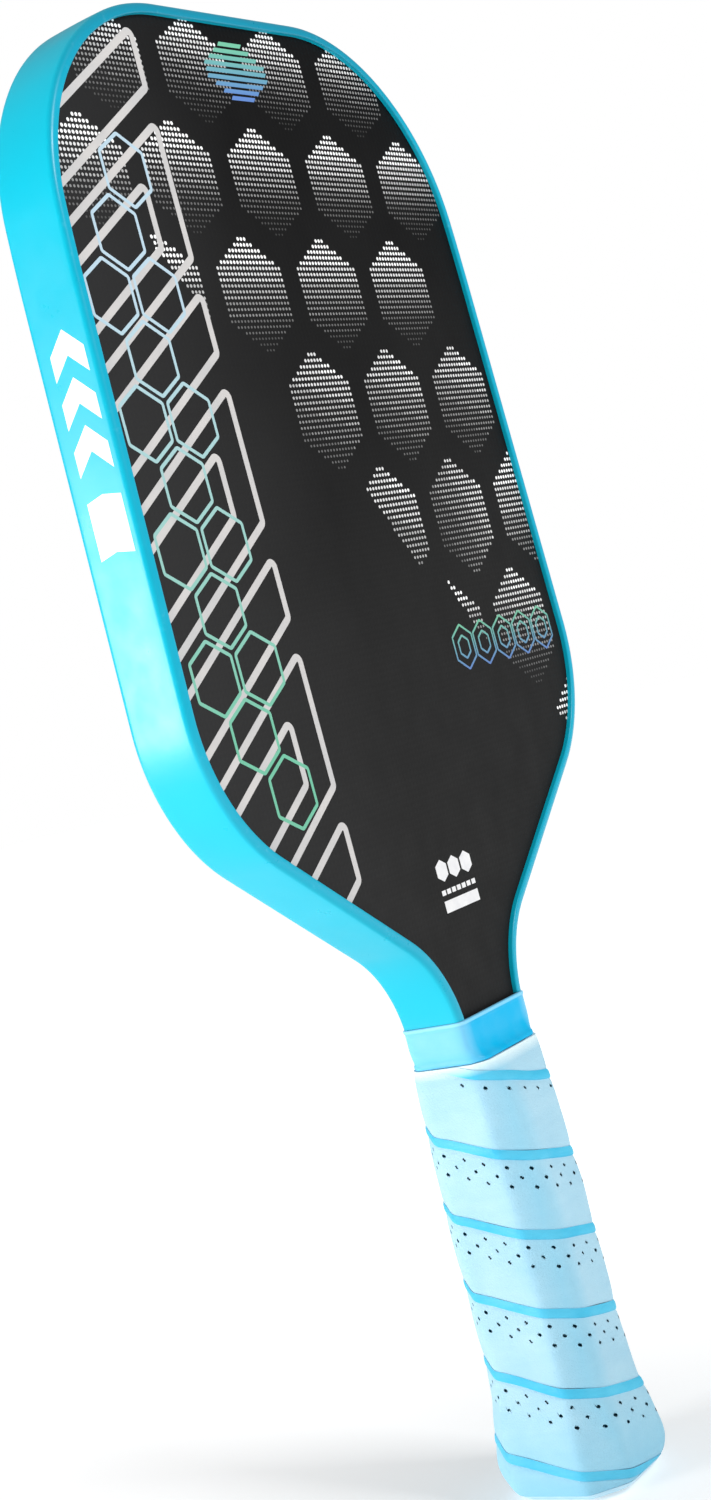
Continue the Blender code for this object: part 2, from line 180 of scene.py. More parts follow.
# row, cells counted from the paddle's middle, how fast the dots fade down and from right to left,
# and the diagonal that cuts a cell off at its lower left: how steep it is, and how far it leaves dots
WHOLE = (0.0, 2.0)
HALFTONE_CELLS = (
    (-1, (-1, 0, 1), 0.0, 0.0, WHOLE),
    (0, (-2, -1, 0, 1), 1.0, 0.1, WHOLE),
    (1, (-2, -1, 0, 1, 2), 1.0, 0.0, WHOLE),
    (2, (-2,), 0.9, 0.0, (0.9, 0.62)),
    (2, (-1, 0, 1), 0.95, 0.0, WHOLE),
    (3, (0, 1, 2), 0.7, 0.2, WHOLE),
    (4, (0,), 0.5, 0.2, (0.86, 0.96)),
    (4, (1,), 0.35, 0.45, WHOLE),
    (4, (2,), 0.6, 0.0, WHOLE),
    (5, (1,), 1.7, 0.0, (0.84, 0.48)),
    (5, (2,), 0.85, 0.15, WHOLE),
    (6, (2,), 0.8, 0.0, (2.0, 1.4)),
)
INK_GREYS = (250, 216, 176, 138, 104, 78, 58)

# Handle, an octagon in section: height, half depth and bevel of the body under the grip
BODY_HALF_WIDTH = 14.0
BODY_STATIONS = (
    (0.0, 15.75, 6.5),
    (80.0, 15.75, 6.5),
    (95.0, 15.1, 6.5),
    (105.0, 14.5, 6.1),
    (112.0, 13.7, 5.4),
    (118.0, 12.3, 4.1),
    (124.0, 10.5, 2.3),
    (127.5, 9.3, 1.1),
)
BEVEL_SHARE = 2.0 - math.sqrt(2.0)
FLARE = (
    (0.0, -3.2),
    (1.2, -0.4),
    (3.0, 1.7),
    (5.0, 2.9),
    (8.0, 3.7),
    (11.0, 3.7),
    (15.0, 3.1),
    (20.0, 2.4),
    (24.0, 1.6),
    (28.0, 0.8),
    (40.0, 0.0),
)
CORNER_SOFTNESS = 34.0

# Grip: one padded strip wound round the handle, with a raised cyan band along its upper edge and
# rows of punched holes below the band
GRIP_LOW, GRIP_HIGH = reach_of("grip_wrap", 2)
GRIP_OVERRUN = 0.25
GRIP_SKIN = 2.5
GRIP_INSIDE = 0.8
GRIP_EDGE = 2.28
BAND_WIDTH = 2.8
BAND_HEIGHT = 0.22
PAD_CROWN = 0.3
WRAP_PITCH = 22.45
WRAP_TILT = 2.0
WRAP_FACING = math.radians(215.5)
WRAP_SEAM_AT_FACING = 98.5
WRAP_WOBBLE = 0.25
COLUMNS = 144
HOLES_PER_TURN = 18
HOLE_ROWS = (5.0, 7.65, 10.3)
HOLE_RADIUS = 0.52
HOLE_REACH = 0.83
HOLE_DEPTH = 0.6
PEBBLE_SIZE = 0.8
# Painted shade on the grip's front is centred this far left of the middle
CREASE_SHADE_LEFT = 11.5

# Collar
COLLAR_LOW, COLLAR_HIGH = reach_of("grip_collar", 2)
COLLAR_NECK = (16.85, 9.25, 0.9)
COLLAR_SHOULDER = (124.8, 130.5)
COLLAR_FIT = 1.1
COLLAR_WALL = 0.85
COLLAR_RIM = 0.3
COLLAR_POINTS = 120

# Butt cap
CAP_LEDGE = 3.0
CAP_TOP = reach_of("butt_cap", 2)[1]
CAP_SKIN = 0.25
CAP_POCKET = 0.3
CAP_POCKET_FLOOR = 3.9
BADGE_RECESS = (9.3, 1.1)

# Camera and light, in metres
CAMERA_PLACE = (-0.5112, -0.3524, 0.2297)
CAMERA_TARGET = (-0.0059, 0.0083, 0.2147)
CAMERA_ROLL = math.radians(-15.08)
CAMERA_LENS = 53.5
FLOOR_HALF_SIZE = 6.0
FLOOR_HEIGHT = -0.0002
# The floor's own glow grows outwards from the paddle, so that it fades into the white behind it
GLOW_REACH = (0.04, 0.3)
GLOW = (0.375, 0.8)
WORLD_LIGHT = 0.28
WORLD_SEEN = 1.0


# ---------------------------------------------------------------- mesh helpers


def loft(bm, rings, closed=False, slot=0):
    """Skins rings of points. A closed loft joins the last ring to the first; others get caps."""
    loops = [[bm.verts.new(point) for point in ring] for ring in rings]
    pairs = list(zip(loops, loops[1:]))
    made = []
    if closed:
        pairs.append((loops[-1], loops[0]))
    else:
        made += [bm.faces.new(loops[0]), bm.faces.new(loops[-1])]
    for low, high in pairs:
        for i in range(len(low)):
            j = (i + 1) % len(low)
            made.append(bm.faces.new((low[i], low[j], high[j], high[i])))
    for face in made:
        face.material_index = slot


def trim(bm, height, keep_above):
    """Cuts a mesh flat at a height and closes the cut."""
    result = bmesh.ops.bisect_plane(
        bm,
        geom=bm.verts[:] + bm.edges[:] + bm.faces[:],
        plane_co=(0, 0, height),
        plane_no=(0, 0, 1),
        clear_outer=not keep_above,
        clear_inner=keep_above,
    )
    rim = [item for item in result["geom_cut"] if isinstance(item, bmesh.types.BMEdge)]
    bmesh.ops.holes_fill(bm, edges=rim)


def add_piece(name, bm, finishes, slot, sharp=None):
    """Turns a bmesh in millimetres into a piece that rides on the paddle."""
    bmesh.ops.recalc_face_normals(bm, faces=bm.faces)
    bmesh.ops.scale(bm, vec=(MM, MM, MM), verts=bm.verts)
    mesh = bpy.data.meshes.new(name)
    bm.to_mesh(mesh)
    bm.free()
    for finish in finishes:
        mesh.materials.append(finish)
    if sharp:
        mesh.shade_smooth()
        mesh.set_sharp_from_angle(angle=math.radians(sharp))
    piece = bpy.data.objects.new(name, mesh)
    bpy.context.scene.collection.objects.link(piece)
    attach(piece, "root")
    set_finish(piece, slot)
    return piece


def add_opposite(piece, name):
    """A copy of a piece turned half round the paddle's length, for the other side."""
    other = bpy.data.objects.new(name, piece.data.copy())
    other.rotation_euler.z = math.pi
    bpy.context.scene.collection.objects.link(other)
    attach(other, "root")
    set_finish(other, piece["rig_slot"])


def smooth_table(table, z, column=1):
    """Reads a table of stations with a smooth curve through them."""
    if z <= table[0][0]:
        return table[0][column]
    if z >= table[-1][0]:
        return table[-1][column]
    k = next(i for i in range(1, len(table)) if z <= table[i][0])
    low, high = table[k - 1], table[k]
    width = high[0] - low[0]

    def slope(i):
        before, after = table[max(i - 1, 0)], table[min(i + 1, len(table) - 1)]
        return (after[column] - before[column]) / (after[0] - before[0])

    t = (z - low[0]) / width
    return (
        (2 * t**3 - 3 * t**2 + 1) * low[column]
        + (t**3 - 2 * t**2 + t) * width * slope(k - 1)
        + (3 * t**2 - 2 * t**3) * high[column]
        + (t**3 - t**2) * width * slope(k)
    )


def smoothstep(low, high, value):
    t = min(1.0, max(0.0, (value - low) / (high - low)))
    return t * t * (3 - 2 * t)


# ---------------------------------------------------------------- material helpers


def srgb(red, green, blue):
    """A colour from its 0 to 255 display values, as the linear values that shaders take."""
    shares = (value / 255 for value in (red, green, blue))
    linear = (s / 12.92 if s <= 0.04045 else ((s + 0.055) / 1.055) ** 2.4 for s in shares)
    return (*linear, 1.0)


class Finish:
    """A node material: a Principled shader on object coordinates, whose sizes are millimetres."""

    def __init__(self, name, specular=0.5, metallic=0.0):
        self.material = bpy.data.materials.new(name)
        self.material.use_nodes = True
        self.tree = self.material.node_tree
        self.shader = self.tree.nodes["Principled BSDF"]
        self.shader.inputs["Specular IOR Level"].default_value = specular
        self.shader.inputs["Metallic"].default_value = metallic
        self.place = self.node("TexCoord").outputs["Object"]

    def node(self, kind, settings=None, **inputs):
        made = self.tree.nodes.new("ShaderNode" + kind)
        for key, value in (settings or {}).items():
            setattr(made, key, value)
        for key, value in inputs.items():
            socket = made.inputs[int(key[1:])] if key[1:].isdigit() else made.inputs[key]
            if isinstance(value, bpy.types.NodeSocket):
                self.tree.links.new(value, socket)
            else:
                socket.default_value = value
        return made

    def noise(self, size, detail=2.0, place=None):
        """Soft noise between 0 and 1 whose spots are about size millimetres wide."""
        scale = 1 / (size * MM)
        vector = place or self.place
        return self.node("TexNoise", None, Vector=vector, Scale=scale, Detail=detail).outputs["Fac"]

    def stretched(self, x, y, z):
        settings = {"vector_type": "TEXTURE"}
        return self.node("Mapping", settings, Vector=self.place, Scale=(x, y, z)).outputs[0]

    def axis(self, name):
        """One object coordinate, in metres."""
        return self.node("SeparateXYZ", None, Vector=self.place).outputs[name]

    def math(self, operation, first, second=0.0):
        return self.node("Math", {"operation": operation}, _0=first, _1=second).outputs[0]

    def ranged(self, value, low, high, to_low=0.0, to_high=1.0):
        """Maps low..high to to_low..to_high, held at the ends."""
        made = self.node("MapRange", None, Value=value)
        ends = {"From Min": low, "From Max": high, "To Min": to_low, "To Max": to_high}
        for key, end in ends.items():
            made.inputs[key].default_value = end
        return made.outputs[0]

    def mix(self, share, first, second):
        """Blends two colours."""
        return self.node("Mix", {"data_type": "RGBA"}, _0=share, _6=first, _7=second).outputs[2]

    def set(self, colour=None, roughness=None, height=None, depth=0.1):
        """Connects the colour, the roughness, and a bump of depth millimetres."""
        for key, value in (("Base Color", colour), ("Roughness", roughness)):
            if isinstance(value, bpy.types.NodeSocket):
                self.tree.links.new(value, self.shader.inputs[key])
            elif value is not None:
                self.shader.inputs[key].default_value = value
        if height is not None:
            bump = self.node("Bump", None, Height=height, Distance=depth * MM)
            self.tree.links.new(bump.outputs[0], self.shader.inputs["Normal"])
        return self.material


def mottled(name, first, second, size, roughness, grain=0.6, depth=0.03, specular=0.5, metallic=0.0):
    """A plain stuff whose colour wanders between two tones, with a fine grain."""
    finish = Finish(name, specular, metallic)
    share = finish.ranged(finish.noise(size), 0.35, 0.65)
    rough = finish.ranged(finish.noise(size / 3), 0.3, 0.7, roughness - 0.05, roughness + 0.05)
    return finish.set(finish.mix(share, first, second), rough, finish.noise(grain, 3.0), depth)


# ---------------------------------------------------------------- outlines


def fillets(path, radii):
    """Arcs that round a path's inner corners, each as centre, radius, first and last angle. The
    radius is negative where the path turns left."""
    arcs = []
    for before, corner, after, radius in zip(path, path[1:], path[2:], radii):
        heading_in = math.atan2(corner[1] - before[1], corner[0] - before[0])
        heading_out = math.atan2(after[1] - corner[1], after[0] - corner[0])
        turn = (heading_out - heading_in + math.pi) % (2 * math.pi) - math.pi
        side = -1.0 if turn < 0 else 1.0
        reach = radius * math.tan(abs(turn) / 2)
        start_x = corner[0] - reach * math.cos(heading_in)
        start_z = corner[1] - reach * math.sin(heading_in)
        centre = (
            start_x - side * radius * math.sin(heading_in),
            start_z + side * radius * math.cos(heading_in),
        )
        first = heading_in - side * math.pi / 2
        arcs.append((centre, -side * radius, first, first + turn))
    return arcs


def arc_points(arcs, inset, step):
    """Points along the arcs, moved to the right of the path by inset."""
    points = []
    for centre, radius, first, last in arcs:
        steps = max(1, math.ceil(abs(last - first) / step))
        reach = abs(radius - inset)
        for i in range(steps + 1):
            angle = first + (last - first) * i / steps
            points.append((centre[0] + reach * math.cos(angle), centre[1] + reach * math.sin(angle)))
    return points


HEAD_PATH = [(0.0, HEAD_TOP)] + [(x, z) for x, z, _ in OUTLINE_CORNERS] + [(NECK_HALF_WIDTH, 0.0)]
HEAD_ARCS = fillets(HEAD_PATH, [radius for _, _, radius in OUTLINE_CORNERS])


def half_outline(inset):
    """Right half of the head outline moved in by inset, from the top centre to the neck."""
    rounded = arc_points(HEAD_ARCS, inset, OUTLINE_STEP)
    return [(0.0, HEAD_TOP - inset)] + rounded + [(NECK_HALF_WIDTH - inset, NECK_END)]


def head_outline(inset):
    half = half_outline(inset)
    return [(-x, z) for x, z in reversed(half[1:])] + half


def half_width_at(z, half):
    """Half width of the head at a height, from its right half outline."""
    for (ax, az), (bx, bz) in zip(half, half[1:]):
        if bz <= z < az:
            return ax + (bx - ax) * (z - az) / (bz - az)
    return 0.0


# ---------------------------------------------------------------- guard


def guard_section():
    """Section of the channel as (inset, y), with a crowned side and round edges."""
    half = [(GUARD_WALL, GUARD_SEAT), (GUARD_LIP, GUARD_SEAT)]
    for i in range(4):
        angle = math.pi / 2 * i / 3
        half.append(
            (
                GUARD_LIP - GUARD_LIP_RADIUS * (1 - math.cos(angle)),
                GUARD_HALF - GUARD_LIP_RADIUS * (1 - math.sin(angle)),
            )
        )
    for i in range(8):
        angle = math.pi / 2 * i / 7
        half.append(
            (
                GUARD_CROWN + GUARD_RADIUS * (1 - math.sin(angle)),
                GUARD_HALF - GUARD_RADIUS * (1 - math.cos(angle)),
            )
        )
    flat = GUARD_HALF - GUARD_RADIUS
    for share in (0.8, 0.6, 0.4, 0.2):
        half.append((GUARD_CROWN * share**2, flat * share))
    return [(GUARD_WALL, 0.0)] + half + [(0.0, 0.0)] + [(inset, -y) for inset, y in reversed(half)]


def guard_finish():
    """Satin cyan plastic with pale scuffs on its edges; painted shade darkens its front and back rims,
    most near the top.
    """
    finish = Finish("guard_cyan", specular=0.32)
    cloud = finish.ranged(finish.noise(60.0), 0.35, 0.65)
    colour = finish.mix(cloud, srgb(0, 181, 206), srgb(0, 189, 214))
    edge = finish.ranged(finish.math("ABSOLUTE", finish.axis("Y")), 0.0082, 0.0096)
    crown = finish.ranged(finish.axis("Z"), 0.39, 0.418)
    # Painted shade: darker cyan on the channel's front and back rims, darker still near the top of the
    # head.
    painted_rim_shade = finish.mix(crown, srgb(0, 160, 190), srgb(0, 120, 150))
    colour = finish.mix(finish.math("MULTIPLY", edge, 0.8), colour, painted_rim_shade)
    scuff = finish.ranged(finish.noise(2.5, 6.0), 0.62, 0.78, 0.0, 0.12)
    colour = finish.mix(finish.math("MULTIPLY", edge, scuff), colour, srgb(150, 235, 248))
    rough = finish.ranged(finish.noise(8.0, 5.0), 0.3, 0.7, 0.27, 0.37)
    return finish.set(colour, rough, finish.noise(0.7, 3.0), 0.012)


def add_guard():
    lines = []
    for inset, y in guard_section():
        lines.append([(x, y, z) for x, z in head_outline(inset)])
    bm = bmesh.new()
    loft(bm, list(zip(*lines)))
    trim(bm, GUARD_END, keep_above=True)
    guard = add_piece("guard_channel", bm, [guard_finish()], "guard_plastic", sharp=50)
    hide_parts("edge_guard")


# ---------------------------------------------------------------- graphics


def front(points, height):
    """Puts points (x, z) at a height over the front face."""
    return [(x, -FACE - height, z) for x, z in points]


def add_plate(bm, outline, height, slot=0):
    """A thin flat patch of ink with the given outline."""
    loft(bm, [front(outline, INK_ROOT), front(outline, height)], slot=slot)


def beside(point, toward, inset):
    """The point moved by inset to the right of the way from it towards another."""
    run, rise = toward[0] - point[0], toward[1] - point[1]
    share = inset / math.hypot(run, rise)
    return point[0] + rise * share, point[1] - run * share


def add_line(bm, path, width, height, radius, closed=False):
    """A line of ink along a path of points (x, z), or (x, z, radius) where a corner differs."""
    radii = [point[2] if len(point) > 2 else radius for point in path]
    path = [point[:2] for point in path]
    if closed:
        arcs = fillets([path[-1]] + path + [path[0]], radii)
    else:
        arcs = fillets(path, radii[1:-1])
    sides = []
    for inset in (-width / 2, width / 2):
        points = arc_points(arcs, inset, INK_STEP)
        if not closed:
            points = [beside(path[0], path[1], inset)] + points + [beside(path[-1], path[-2], -inset)]
        sides.append(points)
    rings = zip(
        front(sides[0], INK_ROOT),
        front(sides[0], height),
        front(sides[1], height),
        front(sides[1], INK_ROOT),
    )
    loft(bm, list(rings), closed)


def block(left, right, low, high):
    return [(left, low), (left, high), (right, high), (right, low)]


def hexagon(x, z, half_width, half_height):
    """Clockwise, with its points up and down."""
    side = half_height / 2
    right = [(x, z + half_height), (x + half_width, z + side), (x + half_width, z - side)]
    return right + [(2 * x - px, 2 * z - pz) for px, pz in right]


def ink_finish(name, grey):
    """Printed ink of one grey, a little uneven in its gloss."""
    finish = Finish(name, specular=0.2)
    rough = finish.ranged(finish.noise(1.5), 0.3, 0.7, 0.45, 0.6)
    return finish.set(srgb(grey, grey, grey), rough)


def fading_finish(name, top, bottom, low, high):
    """Ink whose colour runs from one tone at a height of high to another at low, in millimetres."""
    finish = Finish(name, specular=0.3)
    share = finish.ranged(finish.axis("Z"), low * MM, high * MM)
    rough = finish.ranged(finish.noise(1.5), 0.3, 0.7, 0.4, 0.55)
    return finish.set(finish.mix(share, bottom, top), rough)


def cell_row_height(row):
    return CELL_ROW_TOP - CELL_ROW_STEP * row - CELL_ROW_GROWTH * row * row


def dot_count(line):
    """How many dots lie side by side in a line of a cell, counted from its upper point."""
    ends = min(line, DOT_ROWS - 1 - line)
    return POINT_ROWS[ends] if ends < len(POINT_ROWS) else DOTS_ACROSS


def cell_dots(row, cell, fade_down, fade_across, cut):
    """Dots of one cell as (x, z, strength), where strength runs from 1 to 0."""
    centre = CELL_PITCH * cell + (ODD_ROW_CENTRE if row % 2 else EVEN_ROW_CENTRE)
    top, bottom = cell_row_height(row), cell_row_height(row + 1)
    for line in range(DOT_ROWS):
        z = top + (bottom - top) * line / DOT_ROWS
        for i in range(dot_count(line)):
            x = centre + DOT_PITCH * (i - (dot_count(line) - 1) / 2)
            across = 0.5 - (x - centre) / (DOTS_ACROSS * DOT_PITCH)
            down = max(0.0, line - 3) / (DOT_ROWS - 3)
            if across + cut[0] * line / DOT_ROWS < cut[1]:
                yield x, z, 1.0 - fade_down * down - fade_across * across


def add_halftone():
    half = half_outline(GUARD_LIP - DOT_RADIUS[0])
    bm = bmesh.new()
    for row, cells, *look in HALFTONE_CELLS:
        for cell in cells:
            for x, z, strength in cell_dots(row, cell, *look):
                if strength < 0.0 or abs(x) > half_width_at(z, half):
                    continue
                radius = DOT_RADIUS[1] + (DOT_RADIUS[0] - DOT_RADIUS[1]) * strength
                turns = [2 * math.pi * (i + 0.5) / DOT_SIDES for i in range(DOT_SIDES)]
                outline = [(x + radius * math.sin(a), z + radius * math.cos(a)) for a in turns]
                level = int((1.0 - strength) * (len(INK_GREYS) - 1) + 0.5)
                add_plate(bm, outline, DOT_INK, level)
    inks = [ink_finish(f"dot_ink_{grey}", grey) for grey in INK_GREYS]
    dots = add_piece("front_halftone", bm, inks, "carbon_face")
    add_opposite(dots, "rear_halftone")


def run_to_lip(x, z):
    """Where a line that falls leftwards from a point at the slashes' slope runs in under the lip."""
    half = half_outline(UNDER_LIP)
    near, far = 0.0, half_width_at(z, half)
    for _ in range(20):
        run = (near + far) / 2
        if run - x < half_width_at(z - SLASH_SLOPE * run, half):
            near = run
        else:
            far = run
    return x - near, z - SLASH_SLOPE * near


def add_slash(bm, right, high, low):
    path = [run_to_lip(right, high), (right, high), (right, low), run_to_lip(right, low)]
    add_line(bm, path, SILVER_WIDTH, SILVER_INK, 1.4)


def add_silver_slashes():
    """Parallel outlined slashes up the left side of the face; each broad one holds a narrow one."""
    bm = bmesh.new()
    fall = SLASH_SLOPE * SLASH_INSET
    for high, low in SLASH_SPANS:
        add_slash(bm, SILVER_RIGHT, high, low)
        if high - low > 3 * SLASH_MARGIN:
            inner_high, inner_low = high - fall - SLASH_MARGIN, low - fall + SLASH_MARGIN
            add_slash(bm, SILVER_RIGHT - SLASH_INSET, inner_high, inner_low)
    finish = mottled("silver_ink", srgb(200, 197, 195), srgb(190, 189, 189), 12.0, 0.42, specular=0.4)
    add_opposite(add_piece("front_silver_slashes", bm, [finish], "carbon_face"), "rear_silver_slashes")


def add_thin_hexagons():
    """A strip of thin hexagons over the slashes, pale at the top and mint lower down."""
    bm = bmesh.new()
    half = half_outline(GUARD_LIP)
    for row in range(HEXAGON_ROWS):
        for middle in HEXAGON_COLUMNS[row % 2]:
            shape = hexagon(middle, HEXAGON_TOP - HEXAGON_STEP * row, *HEXAGON_SIZE)
            if all(LINE_WIDTH - x < half_width_at(z, half) for x, z in shape):
                add_line(bm, shape, LINE_WIDTH, LINE_INK, 0.9, closed=True)
    finish = fading_finish("line_ink", srgb(178, 202, 216), srgb(108, 184, 154), 225.0, 340.0)
    add_opposite(add_piece("front_thin_hexagons", bm, [finish], "carbon_face"), "rear_thin_hexagons")


def add_emblem():
    """A hexagon made of level bars near the top of the face."""
    bm = bmesh.new()
    for i in range(EMBLEM_BARS):
        from_middle = i - (EMBLEM_BARS - 1) / 2
        z = EMBLEM_MIDDLE + EMBLEM_PITCH * from_middle
        half_width = EMBLEM_HALF_WIDTH - EMBLEM_TAPER * max(0, abs(from_middle) - 1)
        corners = [
            (-half_width - EMBLEM_SKEW, z - EMBLEM_BAR_HALF),
            (-half_width + EMBLEM_SKEW, z + EMBLEM_BAR_HALF),
            (half_width + EMBLEM_SKEW, z + EMBLEM_BAR_HALF),
            (half_width - EMBLEM_SKEW, z - EMBLEM_BAR_HALF),
        ]
        add_plate(bm, corners, MARK_INK)
    finish = fading_finish("emblem_ink", srgb(112, 188, 156), srgb(92, 130, 196), 396.0, 410.0)
    add_opposite(add_piece("front_emblem", bm, [finish], "carbon_face"), "rear_emblem")


def add_side_mark():
    """Five equal pairs of nested hexagons in a row at the lower right of the face."""
    bm = bmesh.new()
    for i in range(SIDE_MARK_COUNT):
        for size in SIDE_MARK_SIZES:
            shape = hexagon(SIDE_MARK_LEFT + SIDE_MARK_PITCH * i, SIDE_MARK_HEIGHT, *size)
            add_line(bm, shape, MARK_WIDTH, MARK_INK, 0.6, closed=True)
    finish = fading_finish("side_mark_ink", srgb(112, 182, 152), srgb(92, 124, 184), 228.0, 241.0)
    add_opposite(add_piece("front_side_mark", bm, [finish], "carbon_face"), "rear_side_mark")


def add_seal():
    """A small white mark above the neck: three hexagons over a row of dashes and a bar."""
    bm = bmesh.new()
    for x in SEAL_COLUMNS:
        add_plate(bm, hexagon(x, *SEAL_HEXAGON), MARK_INK)
    for i in range(SEAL_DASHES):
        left = SEAL_LEFT + SEAL_DASH_PITCH * i
        add_plate(bm, block(left, left + SEAL_DASH_WIDTH, *SEAL_DASH_SPAN), MARK_INK)
    add_plate(bm, block(SEAL_LEFT, SEAL_RIGHT, *SEAL_BAR_SPAN), MARK_INK)
    finish = mottled("seal_ink", srgb(232, 232, 232), srgb(222, 222, 224), 4.0, 0.5, specular=0.3)
    add_opposite(add_piece("front_seal", bm, [finish], "carbon_face"), "rear_seal")


def add_guard_mark():
    """White arrowheads and a block along the guard's left side."""
    bm = bmesh.new()
    half = half_outline(0.0)
    near, far = GUARD_MARK_SPAN

    def on_guard(z, y, lift):
        crown = GUARD_CROWN * (y / (GUARD_HALF - GUARD_RADIUS)) ** 2
        return -half_width_at(z, half) + crown - lift, y, z

    for low, high, rise in GUARD_MARK_FIGURES:
        rings = []
        for i in range(GUARD_MARK_STEPS + 1):
            y = near + (far - near) * i / GUARD_MARK_STEPS
            shift = rise * (1 - abs(2 * i / GUARD_MARK_STEPS - 1))
            rings.append(
                [
                    on_guard(low + shift, y, INK_ROOT),
                    on_guard(high + shift, y, INK_ROOT),
                    on_guard(high + shift, y, MARK_INK),
                    on_guard(low + shift, y, MARK_INK),
                ]
            )
        loft(bm, rings)
    finish = mottled("guard_mark_ink", srgb(250, 252, 252), srgb(240, 246, 248), 5.0, 0.4)
    add_opposite(add_piece("left_guard_mark", bm, [finish], "guard_plastic"), "right_guard_mark")


# ---------------------------------------------------------------- handle


def octagon_reach(angle, half_width, half_depth, bevel, softness=CORNER_SOFTNESS):
    """Distance from the axis to a bevelled rectangle with softened corners, at an angle."""
    diagonal = (half_width + half_depth - bevel) / math.sqrt(2)
    sides = (half_width, diagonal, half_depth, diagonal)
    total = 0.0
    for k in range(8):
        total += max(0.0, math.cos(angle - k * math.pi / 4) / sides[k % 4]) ** softness
    return total ** (-1 / softness)


def handle_point(angle, z, offset):
    """A point over the handle body, at a distance out from it."""
    reach = octagon_reach(
        angle,
        BODY_HALF_WIDTH + offset,
        smooth_table(BODY_STATIONS, z, 1) + offset,
        smooth_table(BODY_STATIONS, z, 2) + BEVEL_SHARE * offset,
    )
    return reach * math.cos(angle), reach * math.sin(angle), z


def wrap_edge(turned):
    """Height of the strip's upper edge, where turned counts from the side that faces the camera."""
    seam = WRAP_SEAM_AT_FACING - WRAP_PITCH * turned / (2 * math.pi) - WRAP_TILT * math.sin(turned)
    wobble = WRAP_WOBBLE * noise.noise((turned * 1.3, 0.0, 7.0))
    return seam + BAND_WIDTH / 2 + wobble


def pad_height(v):
    """How far the strip's surface stands out, by the distance v down from its upper edge."""
    if v < BAND_WIDTH:
        side = min(v, BAND_WIDTH - v) / (BAND_WIDTH / 2)
        return GRIP_SKIN + BAND_HEIGHT * smoothstep(0.0, 0.6, side)
    share = (v - BAND_WIDTH) / (WRAP_PITCH - BAND_WIDTH)
    return GRIP_EDGE + (GRIP_SKIN + PAD_CROWN - GRIP_EDGE) * math.sin(math.pi * share) ** 0.45


def wrap_point(column, v, sink=0.0):
    """A point on the strip, at a column round the handle and a distance down from its upper edge."""
    turned = 2 * math.pi * column / COLUMNS
    z = wrap_edge(turned) - v
    angle = WRAP_FACING + turned
    lumps = 0.12 * noise.noise((math.cos(angle) * 1.5, math.sin(angle) * 1.5, z * 0.12))
    offset = pad_height(v) + smooth_table(FLARE, z) + lumps - sink
    return handle_point(angle, z, offset)


def strip_rows():
    """Distances of the grid's rows below the strip's upper edge. Each row of holes has three."""
    rows = [0.0, 0.25, 0.7, 1.4, 2.1, 2.55, BAND_WIDTH, 3.3]
    for centre in HOLE_ROWS:
        rows += [centre - HOLE_REACH, centre, centre + HOLE_REACH]
    rows += [12.2, 13.5, 15.0, 16.5, 18.0, 19.4, 20.6, 21.5, 22.1, WRAP_PITCH]
    return rows


def has_hole(column, row_of_holes):
    """Whether a hole is punched at a column. The strip's first turn has only its first row."""
    spacing = COLUMNS // HOLES_PER_TURN
    shift = spacing // 2 if row_of_holes == 1 else 0
    turned = 2 * math.pi * column / COLUMNS
    z = wrap_edge(turned) - HOLE_ROWS[row_of_holes]
    first_turn = turned < -math.pi * 0.75
    on_handle = GRIP_LOW + 12.0 < z < GRIP_HIGH - 4.0
    return (column + shift) % spacing == 0 and on_handle and not (first_turn and row_of_holes)


def punch_hole(bm, rim, column, v):
    """Joins a block of the grid, given by its rim, to a round pit."""
    across = HOLE_RADIUS / (2 * math.pi * (BODY_HALF_WIDTH + GRIP_SKIN) / COLUMNS)
    before, count = rim, len(rim)
    for share, sink, slot in ((1.0, 0.0, 0), (0.86, 0.25, 2), (0.72, HOLE_DEPTH, 2)):
        ring = []
        for k in range(count):
            angle = 2 * math.pi * (k + 5) / count
            ring.append(
                bm.verts.new(
                    wrap_point(
                        column + share * across * math.sin(angle),
                        v - share * HOLE_RADIUS * math.cos(angle),
                        sink,
                    )
                )
            )
        for k in range(count):
            j = (k + 1) % count
            face = bm.faces.new((before[k], before[j], ring[j], ring[k]))
            face.material_index = slot
        before = ring
    bm.faces.new(before).material_index = 2


